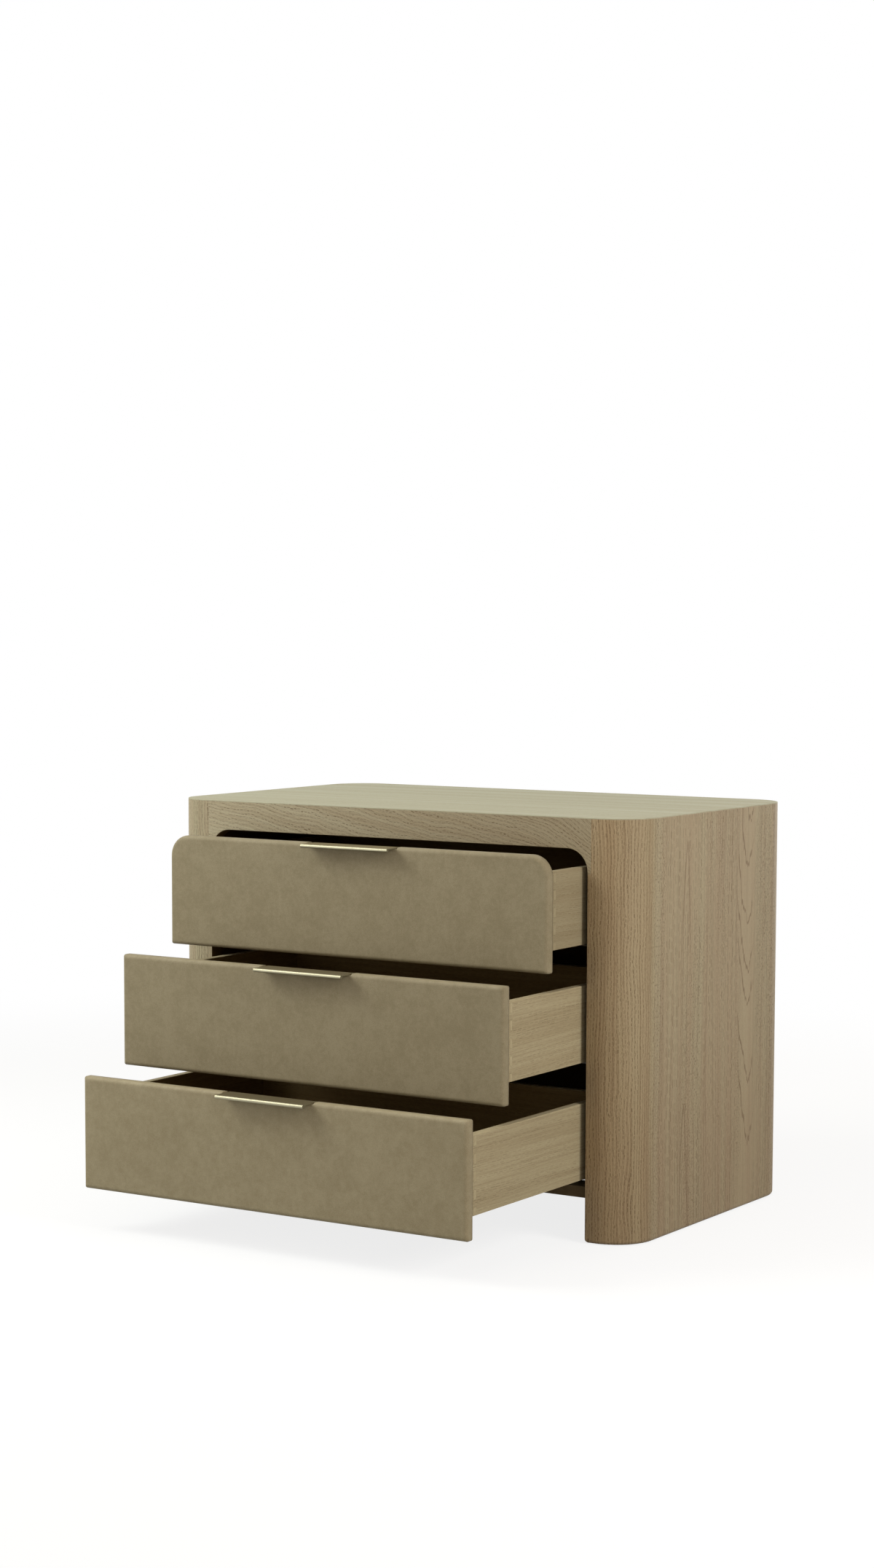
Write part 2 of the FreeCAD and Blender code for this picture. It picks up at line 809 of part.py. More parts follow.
side_shell("left_side_shell", -1)
side_shell("right_side_shell", 1)
liner("left_liner", -1)
liner("right_liner", 1)
blocking("left_blocking", -1)
blocking("right_blocking", 1)
base_plate("left_base_plate", -1)
base_plate("right_base_plate", 1)
case_panels()
for index, opened, lift in DRAWERS:
    drawer(index, opened, lift)
doc.recompute()

for item in doc.Objects:
    if "Invalid" in item.State or "Error" in item.State:
        raise RuntimeError(f"{item.Label} did not build: {item.State}")
    if item.TypeId == "PartDesign::Pocket":
        if item.Shape.Volume > item.BaseFeature.Shape.Volume - 1:
            raise RuntimeError(f"{item.Label} cuts nothing")
for node in nodes:
    if node.Shape.isNull() or not node.Shape.isValid():
        raise RuntimeError(f"{node.Label} has no valid shape")
for node in nodes:
    node.Shape.exportStep(f"parts/{node.Label}.step")
print(len(nodes), "pieces")
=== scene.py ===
import math

import bpy
from mathutils import Matrix, Vector


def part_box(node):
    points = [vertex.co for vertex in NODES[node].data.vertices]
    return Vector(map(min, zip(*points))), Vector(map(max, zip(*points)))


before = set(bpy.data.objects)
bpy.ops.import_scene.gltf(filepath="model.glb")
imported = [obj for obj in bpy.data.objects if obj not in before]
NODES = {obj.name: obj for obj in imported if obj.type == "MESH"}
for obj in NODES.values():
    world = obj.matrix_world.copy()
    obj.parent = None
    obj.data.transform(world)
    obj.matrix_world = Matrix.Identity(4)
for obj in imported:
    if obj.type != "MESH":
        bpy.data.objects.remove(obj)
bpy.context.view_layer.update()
scene = bpy.context.scene

# The picture is 1200 by 2152 pixels. The camera's place is in metres, its angles in degrees.
IMAGE_HEIGHT = 2152
CAMERA_PLACE = (2.1228, -3.2773, 0.8255)
CAMERA_YAW = -32.633
CAMERA_PITCH = -5.199
CAMERA_ROLL = -0.177
FOCAL_PIXELS = 3907.4
CENTRE_BELOW_MIDDLE = 118.6
SENSOR = 36.0

# Each lamp has a direction from the object, a distance, a width, a colour, and a level, which
# is its light on a surface that faces it.
TARGET = Vector((0.0, 0.1, 0.28))
LAMPS = {
    "key": ((-0.636, -0.477, 0.607), 2.5, 1.2, (0.97, 1, 0.94), 0.77),
    "side": ((0.88, -0.23, 0.47), 2.4, 0.8, (1, 0.96, 0.91), 0.53),
    "front": ((-0.45, -0.88, 0.05), 1.9, 1.6, (1, 0.99, 0.95), 0.25),
    "fill": ((0.60, -0.78, 0.20), 3.0, 2.0, (1, 0.90, 0.78), 0.17),
    "back": ((0.15, 0.94, 0.28), 3.0, 2.0, (1, 0.97, 0.92), 0.34),
    "roof": ((0.0, 0.1, 1.0), 2.6, 2.6, (1, 1, 0.95), 0.27),
}
AMBIENT = 0.15
AMBIENT_COLOUR = (1.0, 0.82, 0.60, 1.0)
WHITE = (1, 1, 1, 1)

# The floor: its half width, its tones as it is seen and as it sends light back, the share of
# plain white in it near the object, and the distances where that share starts to rise and is full.
FLOOR_HALF = 30.0
FLOOR_SEEN = (0.95, 0.95, 0.95, 1)
FLOOR_BOUNCE = (0.30, 0.30, 0.30, 1)
FLOOR_WHITE = 0.82
FLOOR_NEAR = 1.1
FLOOR_FAR = 2.4

# The case's outline in the plan, for grain that follows the surface around the corners.
CORNER = 0.058
shell_low, shell_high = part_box("right_side_shell")
CENTRE_X = shell_high.x - CORNER
FRONT_CENTRE_Y = shell_low.y + CORNER
REAR_CENTRE_Y = shell_high.y - CORNER
LEAST_OUT = 1e-4

# The flame and the hairpin are lines in the grain of the sides: how far behind the front they
# stand, where that is along the surface, the heights of their tips, how steep they rise, and
# where they fade.
FLAME_BEHIND = 0.328
FLAME_PLACE = CORNER * math.pi / 2 + FLAME_BEHIND - CORNER
LEFT_FLAME_PLACE = 0.300
FLAME_TIPS = (0.541, 0.479, 0.400, 0.333, 0.283, 0.175, 0.09)
FLAME_SLOPE = 1.2
FLAME_BEND = 65.0
FLAME_SWING = 0.012
FLAME_NEAR = (0.014, 0.040, 1.0, 0.0)
FLAME_REAR = (0.006, 0.018, 1.0, 0.2)
FLAME_LINES = (0, 0.6, 0.0, 0.75)
FLAME_CLEAR = (0, 1, 1.0, 0.2)
FLAME_PALE = 0.25
HAIRPIN_BEHIND = 0.145
HAIRPIN_PLACE = CORNER * math.pi / 2 + HAIRPIN_BEHIND - CORNER
HAIRPIN_TIPS = (0.521, 0.168)
HAIRPIN_SLOPE = 3.0
HAIRPIN_BEND = 900.0
HAIRPIN_NEAR = (0.008, 0.014, 0.5, 0.0)
LINE_EDGE = (0.0022, 0.0007)

# Rows of pores: the distance between rows, half the width of a dash as a share of it, how many
# dashes show, the step from dash to dash, and how far and how often the rows bend.
POST_PITCH = 0.0046
POST_ROWS = dict(pitch=POST_PITCH, wide=0.14, share=1.3, length=0.0066, wander=0.5, bends=14.0)
SECOND_POST_ROWS = dict(
    pitch=0.47 * POST_PITCH, wide=0.22, share=1.0, length=0.0055, wander=0.5, bends=14.0
)
SIDE_ROWS = dict(pitch=0.0036, wide=0.24, share=1.1, length=0.0160, wander=0.4, bends=9.0)
RAIL_PITCH = 0.0053
RAIL_ROWS = dict(pitch=RAIL_PITCH, wide=0.14, share=1.5, length=0.0058, wander=0.35, bends=24.0)
SECOND_RAIL_ROWS = dict(
    pitch=0.41 * RAIL_PITCH, wide=0.22, share=1.0, length=0.0050, wander=0.35, bends=24.0
)
PLAIN_ROWS = dict(pitch=0.0021, wide=0.26, share=1.15, length=0.0120, wander=0.3, bends=8.0)
RAIL_SEED, SECOND_RAIL_SEED, PLAIN_SEED = 0.3, 1.7, 0.4

# How the dashes of a row vary: the drift of the row, where they start, how far they are off the
# row, their half lengths and soft ends as shares of a step, their strengths and solid cores.
ROW_DRIFT = 0.23
ROW_STARTS = 17.0
DASH_JOG = 0.22
DASH_REACH = (0.24, 0.48)
DASH_END = 0.06
DASH_STRENGTH = (0.55, 1.15)
DASH_CORE = 0.3

# How strong the pores are.
POST_PORES, SECOND_POST_PORES = 0.84, 0.7
RAIL_PORES, SECOND_RAIL_PORES = 0.82, 0.6
SIDE_PORES = 0.66
TOP_DEPTH = 0.25
BACK_DEPTH = 0.6
BOX_DEPTH = 0.46

# How the noises in wood and metal are stretched, with the grain along the third number, and how
# far they push the grain aside.
SHELL_SWAY, SHELL_SWING = (9, 9, 2.2), 0.006
RAIL_SWAY, RAIL_SWING = (11, 11, 26), 0.004
PLAIN_SWAY, PLAIN_SWING = (7, 7, 2.0), (0.018, 0.018, 0.0)
SHELL_BANDS = (30, 30, 0.7)
RAIL_BANDS = (40, 40, 1.2)
PLAIN_BANDS = (36, 36, 0.9)
SHELL_STREAKS = (320, 320, 3.4)
RAIL_STREAKS = (320, 320, 5.0)
PLAIN_STREAKS = (320, 320, 4.0)
FLAME_WANDER = (0.1, 1, 6.0)
FLAME_WOBBLE = (170, 170, 20)
SPECKS = (1300, 1300, 260)
CLUSTERS = (20, 20, 2.0)
PORE_ZONES = (60, 60, 2.0)
FIBRES = (2000, 2000, 120)
SCRATCHES = (2600, 2600, 18)
STAIN_STREAKS = (90, 5, 90)
SIDE_SHIFT = 0.37

# Scales of the noises that aren't stretched, in boards, metal and plastic.
BOARD_SCALE, BLOTCH_SCALE = 700.0, 40.0
WEAR_SCALE = 60.0
PLASTIC_SCALE, PLASTIC_TONE_SCALE = 1800.0, 90.0

# The slant of the rail's grain, how it bends down from a place near the right post, and the
# slant of the rows of pores through the thickness of plain oak.
RAIL_SLANT = 0.18
RAIL_BEND = 2.1
RAIL_BEND_FROM = 0.20
PLAIN_SLANT = 0.83

# Where a part of a pattern shows: from one value to another, and its shares at both.
NOISE_LOW, NOISE_HIGH = 0.25, 0.75
MIDDLE = (0.3, 0.7)
BAND_SPAN = (0.36, 0.64)
FIBRE_SPAN = (0.35, 0.7)
VENEER_FIBRES = 0.16
SHELL_STREAK_SPAN = (0.40, 0.70, 0.0, 0.48)
RAIL_STREAK_SPAN = (0.38, 0.70, 0.0, 0.30)
PLAIN_STREAK_SPAN = (0.38, 0.72)
POST_SPAN = (0.050, 0.100, 1.0, 0.0)
# Where the painted light and shade on the post fronts shows.
POST_LIGHT_AND_SHADE_SPAN = (0.015, 0.060, 1.0, 0.0)
POST_BETWEEN_SPAN = (0.22, 0.45)
POST_PALE_SPAN = (0, 1, 0.15, 0.55)
RAIL_BETWEEN_SPAN = (0.25, 0.48, 0.0, 0.30)
# Where the painted light on the rail shows.
RAIL_PAINTED_LIGHT_SPAN = (-0.30, 0.24, 1.0, 0.0)
# Where the painted shade near the floor shows.
LOW_SHADE_SPAN = (0.08, 0.30, 1.0, 0.0)
SPECK_SPAN = (0.54, 0.64)
CLUSTER_SPAN = (0.42, 0.62, 0.20, 0.66)
ZONE_SPAN = (0.35, 0.65)
# Where the painted shade on faces that look into the case shows.
SHELL_SHADE_SPAN = (-0.25, -0.65)
RAIL_SHADE_SPAN = (-0.75, -0.35)
BACK_SHADE_SPAN = (-0.4, -0.7)
# Where the painted shade on the box sides' inner faces shows.
BOX_SIDE_SHADE_SPAN = (-0.15, -0.22)
FACE_SPAN = (0.6, 0.8)
WEAR_SPAN = (0.1, 0.45)
# Where the painted shade on brass faces that look up shows.
UP_SHADE_SPAN = (0.88, 0.99)

# Leather: the scales and weights of its mottles, its grain, and its soft upper edge.
CLOUD_SCALE, CLOUD_WEIGHT = 11.0, 0.30
PATCH_SCALE, PATCH_WEIGHT = 48.0, 0.35
SPOT_SCALE, SPOT_WEIGHT = 150.0, 0.35
HIDE_SCALE, HIDE_WEIGHT = 1100.0, 0.7
FINE_SCALE, FINE_WEIGHT = 1600.0, 0.3
HIDE_SPAN = (0.2, 0.7, 0.0, 0.28)
LEATHER_SOFT = 0.004
LEATHER_SOFT_ABOVE = 1.5 * LEATHER_SOFT
LEATHER_ABOVE_SPAN = (0.02, 0.15)
BEVEL_SAMPLES = 8

# Colours of the finishes, and tints and gains that multiply them. A pair of tones has the darker
# one first, but those of the top and of the boxes have the lighter one first.
OAK_LIGHT = (0.352, 0.300, 0.186)
OAK_WARM = (0.328, 0.255, 0.156)
OAK_DEEP = (0.205, 0.146, 0.080)
OAK_PALE = (0.405, 0.335, 0.210)
OAK_PORE = (0.105, 0.066, 0.033)
OAK_FLAME = (0.165, 0.105, 0.052)
# Painted light and shade: the left post front paler, the right one darker and pinker.
POST_LEFT_PAINTED_LIGHT = (0.99, 1.045, 1.11)
POST_RIGHT_PAINTED_SHADE = (0.98, 0.90, 0.85)
# Painted shade: the shells darker towards the bottom, near the floor.
LOW_PAINTED_SHADE = (0.92, 0.88, 0.85)
RAIL_LIGHT = (0.316, 0.267, 0.175)
RAIL_WARM = (0.290, 0.235, 0.149)
# Painted light: the rail lighter towards its left end, as if nearer the lamp on the left.
RAIL_LEFT_PAINTED_LIGHT = (1.228, 1.304, 1.38)
TOP_TONES = ((0.398, 0.390, 0.288), (0.364, 0.348, 0.248))
BOX_TONES = ((0.331, 0.285, 0.183), (0.290, 0.243, 0.152))
# Painted shade: the boxes' inner faces, and both faces of their fronts and backs, darker and
# browner.
BOX_INSIDE_SHADE = (0.60, 0.50, 0.36)
# Painted light and shade: a gain for each drawer's box wood, the first box darker.
BOX_PAINTED_LIGHT_GAIN = (0.97, 1.25, 1.22)
END_GAIN, END_SHARE = 1.27, 0.35
LEATHER_TONES = ((0.225, 0.190, 0.119), (0.276, 0.238, 0.156))
# Painted light: a gain for each drawer's leather, the lowest front lighter.
LEATHER_PAINTED_LIGHT_GAIN = (1.05, 1.055, 1.21)
LEATHER_GRAIN = (0.16, 0.122, 0.062)
# Painted shade: a near-black brown on the oak faces that look into the case.
CASE_INSIDE_SHADE = (0.066, 0.036, 0.0095)
STAIN_TONES = ((0.044, 0.021, 0.0055), (0.084, 0.045, 0.0145))
BROWN_TONES = ((0.12, 0.085, 0.045), (0.17, 0.125, 0.07))
BOARD_TONES = ((0.20, 0.13, 0.07), (0.31, 0.22, 0.13))
BOARD_BLOTCH, BLOTCH_SHARE = (0.18, 0.12, 0.07), 0.3
BRASS_TONES = ((0.29, 0.268, 0.185), (0.335, 0.312, 0.222))
# Painted shade: a darker brass on the faces of the pull that look up, for a dimmer reflection.
BRASS_UP_SHADE = (0.215, 0.185, 0.120)
BRASS_GLINT = (0.55, 0.48, 0.36, 1.0)
ZINC_TONES = ((0.38, 0.38, 0.37), (0.52, 0.52, 0.50))
STEEL_TONES = ((0.38, 0.38, 0.37), (0.55, 0.55, 0.54))
CLIP_TONES = ((0.06, 0.06, 0.06), (0.10, 0.10, 0.10))
GLIDE_TONES = ((0.035, 0.032, 0.03), (0.06, 0.055, 0.05))

# Gloss, roughness, and relief as a depth in metres and a strength.
VENEER_GLOSS = 0.22
TOP_GLOSS = 0.12
BACK_GLOSS = 0.05
BOX_GLOSS = 0.03
LEATHER_GLOSS = 0.18
STAIN_GLOSS = 0.0
VENEER_ROUGH = (0.52, 0.66)
PLAIN_ROUGH, TOP_ROUGH = 0.5, 0.62
PORE_ROUGHER = 0.12
LEATHER_ROUGH = (0.62, 0.54)
STAIN_ROUGH = (0.7, 0.8)
BOARD_ROUGH = (0.75, 0.9)
PLASTIC_ROUGH = (0.45, 0.6)
BRASS_ROUGH, ZINC_ROUGH, STEEL_ROUGH = 0.47, 0.36, 0.35
BRASS_VARY, METAL_VARY = 0.03, 0.05
VENEER_RELIEF = (0.00022, 0.5)
PLAIN_RELIEF = (0.00018, 0.5)
LEATHER_RELIEF = (0.00015, 0.3)
BOARD_RELIEF = (0.0002, 0.3)
PLASTIC_RELIEF = (0.00005, 0.4)
METAL_RELIEF = (0.00004, 0.25)
BRASS_RELIEF = (0.00004, 0.05)
VENEER_STREAK_RELIEF, PLAIN_STREAK_RELIEF = 0.3, 0.25

# Turns that lay the grain upright, along the width and along the depth.
UPRIGHT = (0, 0, 0)
ALONG_X = (0, -90, 0)
ALONG_Y = (90, 0, 0)


class Tree:
    """A material's node tree, written as one call for each node."""

    def __init__(self, name):
        self.material = bpy.data.materials.new(name)
        self.material.use_nodes = True
        self.nodes = self.material.node_tree.nodes
        self.nodes.clear()
        self.output = self.add("ShaderNodeOutputMaterial")
        self.shader = self.add("ShaderNodeBsdfPrincipled")
        self.link(self.shader.outputs[0], self.output.inputs["Surface"])

    def add(self, kind, **values):
        node = self.nodes.new(kind)
        for key, value in values.items():
            setattr(node, key, value)
        return node

    def link(self, output, socket):
        self.material.node_tree.links.new(output, socket)

    def put(self, socket, value):
        if isinstance(value, bpy.types.NodeSocket):
            self.link(value, socket)
        else:
            socket.default_value = value

    def fill(self, node, values):
        for socket, value in zip(node.inputs, values):
            self.put(socket, value)

    def set(self, **values):
        """Values of the shader's sockets, with underscores for spaces."""
        for key, value in values.items():
            self.put(self.shader.inputs[key.replace("_", " ")], value)

    def place(self, scale=(1, 1, 1), turn=UPRIGHT, shift=(0, 0, 0), source=None):
        if source is None:
            source = self.add("ShaderNodeTexCoord").outputs["Object"]
        node = self.add("ShaderNodeMapping")
        self.link(source, node.inputs["Vector"])
        node.inputs["Location"].default_value = shift
        node.inputs["Rotation"].default_value = [math.radians(v) for v in turn]
        node.inputs["Scale"].default_value = scale
        return node.outputs[0]

    def noise(self, vector, scale=1.0, detail=2.0, rough=0.5, colour=False):
        node = self.add("ShaderNodeTexNoise")
        self.link(vector, node.inputs["Vector"])
        node.inputs["Scale"].default_value = scale
        node.inputs["Detail"].default_value = detail
        node.inputs["Roughness"].default_value = rough
        return node.outputs["Color" if colour else "Fac"]

    def chance(self, vector):
        """Three random values for each place."""
        node = self.add("ShaderNodeTexWhiteNoise", noise_dimensions="3D")
        self.link(vector, node.inputs["Vector"])
        return self.split(node.outputs["Color"])

    def cells(self, vector, scale):
        """The distance from the middle of the nearest cell."""
        node = self.add("ShaderNodeTexVoronoi", feature="F1")
        self.link(vector, node.inputs["Vector"])
        node.inputs["Scale"].default_value = scale
        return node.outputs["Distance"]

    def span(self, value, low, high, to_low=0.0, to_high=1.0, smooth=True):
        """The value, which goes from low to high, laid out from to_low to to_high."""
        node = self.add("ShaderNodeMapRange")
        node.interpolation_type = "SMOOTHSTEP" if smooth else "LINEAR"
        self.fill(node, (value, low, high, to_low, to_high))
        return node.outputs[0]

    def swing(self, value, reach, low=NOISE_LOW, high=NOISE_HIGH):
        """A noise as a shift of up to reach to either side."""
        return self.span(value, low, high, -reach, reach, smooth=False)

    def math(self, operation, *values):
        node = self.add("ShaderNodeMath", operation=operation)
        self.fill(node, values)
        return node.outputs[0]

    def vector(self, operation, *values):
        node = self.add("ShaderNodeVectorMath", operation=operation)
        self.fill(node, values)
        return node.outputs["Value" if operation == "LENGTH" else "Vector"]

    def rounded(self, radius):
        """The surface's direction with the edges rounded off."""
        node = self.add("ShaderNodeBevel", samples=BEVEL_SAMPLES)
        node.inputs["Radius"].default_value = radius
        return node.outputs[0]

    def facing(self):
        """The three parts of the surface's direction, in the part's own coordinates."""
        return self.split(self.add("ShaderNodeTexCoord").outputs["Normal"])

    def split(self, vector):
        node = self.add("ShaderNodeSeparateXYZ")
        self.link(vector, node.inputs[0])
        return node.outputs

    def join(self, x, y, z):
        node = self.add("ShaderNodeCombineXYZ")
        self.fill(node, (x, y, z))
        return node.outputs[0]

    def blend(self, share, first, second, mode="MIX"):
        node = self.add("ShaderNodeMix", data_type="RGBA", blend_type=mode)
        sockets = [s for s in node.inputs if s.type == "RGBA"]
        self.put(node.inputs["Factor"], share)
        for socket, value in zip(sockets, (first, second)):
            if not isinstance(value, bpy.types.NodeSocket):
                value = (*value, 1.0)
            self.put(socket, value)
        return next(o for o in node.outputs if o.type == "RGBA")

    def tint(self, share, colour, tint):
        """The colour, multiplied by the tint where share is 1."""
        return self.blend(share, colour, self.blend(1.0, colour, tint, "MULTIPLY"))

    def bump(self, height, depth, strength, after=None):
        node = self.add("ShaderNodeBump")
        node.inputs["Strength"].default_value = strength
        node.inputs["Distance"].default_value = depth
        self.link(height, node.inputs["Height"])
        if after is not None:
            self.link(after, node.inputs["Normal"])
        return node.outputs[0]


def toned(colours, gain):
    return [tuple(gain * value for value in colour) for colour in colours]


def unrolled(tree):
    """Grain coordinates of a side shell: along the surface and its corners, which side, and up."""
    x, y, z = tree.split(tree.place())
    out = tree.math("SUBTRACT", tree.math("ABSOLUTE", x), CENTRE_X)
    wide = tree.math("MAXIMUM", out, LEAST_OUT)
    ahead = tree.math("MAXIMUM", tree.math("SUBTRACT", FRONT_CENTRE_Y, y), 0.0)
    behind = tree.math("MAXIMUM", tree.math("SUBTRACT", y, REAR_CENTRE_Y), 0.0)
    turned = tree.math("ARCTAN2", wide, ahead)
    turned = tree.math("ADD", turned, tree.math("ARCTAN2", behind, wide))
    flat = tree.math("MINIMUM", tree.math("MAXIMUM", y, FRONT_CENTRE_Y), REAR_CENTRE_Y)
    flat = tree.math("SUBTRACT", flat, FRONT_CENTRE_Y)
    end = tree.math("SIGN", tree.math("SUBTRACT", y, (FRONT_CENTRE_Y + REAR_CENTRE_Y) / 2))
    inward = tree.math("MULTIPLY", tree.math("MINIMUM", out, 0.0), end)
    along = tree.math("ADD", tree.math("MULTIPLY", turned, CORNER), flat)
    return tree.math("SUBTRACT", along, inward), tree.math("SIGN", x), z


def rows(tree, across, along, seed, pitch, wide, share, length, wander, bends):
    """A row of pores for each pitch, as dashes along the grain, and the place between rows."""
    phase = tree.math("DIVIDE", across, pitch)
    drifting = tree.math("MULTIPLY", phase, ROW_DRIFT)
    bending = tree.math("MULTIPLY", along, bends)
    drift = tree.noise(tree.join(drifting, seed, bending), rough=0.35)
    shifted = tree.math("ADD", phase, tree.swing(drift, wander))
    index = tree.math("FLOOR", shifted)
    place = tree.math("SUBTRACT", tree.math("FRACT", shifted), 0.5)
    start, strong, _ = tree.chance(tree.join(index, seed, 0.5))
    step = tree.math("DIVIDE", along, length)
    step = tree.math("ADD", step, tree.math("MULTIPLY", start, ROW_STARTS))
    jog, reach, dark = tree.chance(tree.join(index, seed, tree.math("FLOOR", step)))
    off = tree.math("ABSOLUTE", tree.math("ADD", place, tree.swing(jog, DASH_JOG, 0, 1)))
    ahead = tree.math("ABSOLUTE", tree.math("SUBTRACT", tree.math("FRACT", step), 0.5))
    ends = tree.math("SUBTRACT", ahead, tree.span(reach, 0, 1, *DASH_REACH, smooth=False))
    shown = tree.span(dark, 1 - share, 1.0, smooth=False)
    dash = tree.math("MULTIPLY", tree.span(ends, DASH_END, -DASH_END), shown)
    dash = tree.math("MULTIPLY", dash, tree.span(strong, 0, 1, *DASH_STRENGTH, smooth=False))
    line = tree.math("MULTIPLY", tree.span(off, wide, DASH_CORE * wide), dash)
    return tree.math("MINIMUM", line, 1.0), tree.math("ABSOLUTE", place)


def contour(tree, off, up, slope, bend, tips):
    """Lines that start from tips at the given heights and rise to both sides, ever steeper."""
    off = tree.math("ABSOLUTE", off)
    rise = tree.math("MULTIPLY", off, tree.math("ADD", slope, tree.math("MULTIPLY", off, bend)))
    steep = tree.math("ADD", slope, tree.math("MULTIPLY", off, 2 * bend))
    steep = tree.math("SQRT", tree.math("ADD", 1.0, tree.math("MULTIPLY", steep, steep)))
    level = tree.math("SUBTRACT", up, rise)
    lines = None
    for tip in tips:
        away = tree.math("ABSOLUTE", tree.math("SUBTRACT", level, tip))
        away = tree.math("DIVIDE", away, steep)
        lines = away if lines is None else tree.math("MINIMUM", lines, away)
    return tree.span(lines, *LINE_EDGE)


def side_figure(tree, across, side, up, plain, grain):
    """The figure of a side's grain: how near the flame is, its lines, and the hairpin's lines."""
    place = tree.span(side, -1, 1, LEFT_FLAME_PLACE, FLAME_PLACE, smooth=False)
    off = tree.math("SUBTRACT", across, place)
    wander = tree.place(FLAME_WANDER, shift=(0.3, 0.1, 0.75), source=plain)
    wander = tree.noise(wander, detail=1.0)
    off = tree.math("ADD", off, tree.swing(wander, FLAME_SWING, *MIDDLE))
    wobble = tree.noise(tree.place(FLAME_WOBBLE, source=grain), rough=0.6)
    height = tree.math("ADD", up, tree.swing(wobble, FLAME_SWING))
    flame = contour(tree, off, height, FLAME_SLOPE, FLAME_BEND, FLAME_TIPS)
    flame = tree.math("MULTIPLY", flame, tree.span(off, *FLAME_REAR))
    near = tree.span(tree.math("ABSOLUTE", off), *FLAME_NEAR)

    pin = tree.math("SUBTRACT", across, HAIRPIN_PLACE)
    down = tree.math("MULTIPLY", up, -1.0)
    tips = [-tip for tip in HAIRPIN_TIPS]
    hairpin = contour(tree, pin, down, HAIRPIN_SLOPE, HAIRPIN_BEND, tips)
    fade = tree.span(tree.math("ABSOLUTE", pin), *HAIRPIN_NEAR)
    return near, flame, tree.math("MULTIPLY", hairpin, fade)


def veneer_surface(tree, colour, inner, pores, streaks, deepest):
    """Sets the shader for the sides and the rail, with painted shade, a near-black brown, where
    inner is 1.
    """
    tree.set(Base_Color=tree.blend(inner, colour, CASE_INSIDE_SHADE), Specular_IOR_Level=VENEER_GLOSS)
    tree.set(Roughness=tree.span(pores, 0, deepest, *VENEER_ROUGH))
    relief = tree.math("MULTIPLY", streaks, VENEER_STREAK_RELIEF)
    relief = tree.math("SUBTRACT", relief, pores)
    tree.set(Normal=tree.bump(relief, *VENEER_RELIEF))


def shell_oak():
    """Upright oak veneer: rows of pores on the posts, and finer sides with a flame, with painted
    light and shade.
    """
    tree = Tree("oak_upright")
    across, side, up = unrolled(tree)
    shift = tree.math("MULTIPLY", side, SIDE_SHIFT)
    plain = tree.join(across, shift, up)
    sway = tree.noise(tree.place(SHELL_SWAY, source=plain))
    across = tree.math("ADD", across, tree.swing(sway, SHELL_SWING))
    grain = tree.join(across, shift, up)
    post = tree.span(across, *POST_SPAN)
    flat = tree.math("SUBTRACT", 1.0, post)
    near, flame, hairpin = side_figure(tree, across, side, up, plain, grain)
    near = tree.math("MULTIPLY", near, flat)

    bands = tree.noise(tree.place(SHELL_BANDS, source=grain), detail=3.0, rough=0.55)
    streaks = tree.noise(tree.place(SHELL_STREAKS, source=grain), rough=0.6)
    fibres = tree.noise(tree.place(FIBRES, source=grain), detail=1.0)
    specks = tree.noise(tree.place(SPECKS, source=grain), detail=1.0)
    clusters = tree.noise(tree.place(CLUSTERS, shift=(4.1, 0.2, 0.9), source=grain))
    coarse, between = rows(tree, across, up, shift, **POST_ROWS)
    second, _ = rows(tree, across, up, shift, **SECOND_POST_ROWS)
    finer, _ = rows(tree, across, up, shift, **SIDE_ROWS)

    colour = tree.blend(tree.span(bands, *BAND_SPAN), OAK_LIGHT, OAK_WARM)
    colour = tree.blend(tree.span(streaks, *SHELL_STREAK_SPAN), colour, OAK_DEEP)
    pale = tree.span(between, *POST_BETWEEN_SPAN)
    pale = tree.math("MULTIPLY", pale, tree.span(post, *POST_PALE_SPAN))
    colour = tree.blend(pale, colour, OAK_PALE)
    colour = tree.blend(tree.math("MULTIPLY", near, FLAME_PALE), colour, OAK_PALE)
    flame = tree.math("MULTIPLY", flame, tree.span(near, *FLAME_LINES))
    colour = tree.blend(tree.math("MAXIMUM", flame, hairpin), colour, OAK_FLAME)

    second = tree.math("MULTIPLY", second, SECOND_POST_PORES)
    coarse = tree.math("MULTIPLY", tree.math("MAXIMUM", coarse, second), post)
    coarse = tree.math("MULTIPLY", coarse, POST_PORES)
    finer = tree.math("MULTIPLY", tree.math("MULTIPLY", finer, flat), SIDE_PORES)
    spotted = tree.span(specks, *SPECK_SPAN)
    spotted = tree.math("MULTIPLY", spotted, tree.span(clusters, *CLUSTER_SPAN))
    spotted = tree.math("MULTIPLY", spotted, flat)
    fine = tree.math("MAXIMUM", finer, spotted)
    fine = tree.math("MULTIPLY", fine, tree.span(near, *FLAME_CLEAR))
    pores = tree.math("MAXIMUM", coarse, fine)
    colour = tree.blend(pores, colour, OAK_PORE)
    colour = tree.blend(tree.span(fibres, *FIBRE_SPAN, 0.0, VENEER_FIBRES), colour, OAK_PORE)

    # Painted light and shade: the left post front paler, the right one darker and pinker.
    tint = tree.blend(tree.span(side, -1, 1), POST_LEFT_PAINTED_LIGHT, POST_RIGHT_PAINTED_SHADE)
    colour = tree.tint(tree.span(across, *POST_LIGHT_AND_SHADE_SPAN), colour, tint)
    # Painted shade: darker towards the bottom, near the floor.
    colour = tree.tint(tree.span(up, *LOW_SHADE_SPAN), colour, LOW_PAINTED_SHADE)
    # Painted shade: the faces that look into the case get a near-black brown.
    inward = tree.math("MULTIPLY", tree.facing()[0], side)
    inner = tree.span(inward, *SHELL_SHADE_SPAN)
    veneer_surface(tree, colour, inner, pores, streaks, deepest=0.6)
    return tree.material


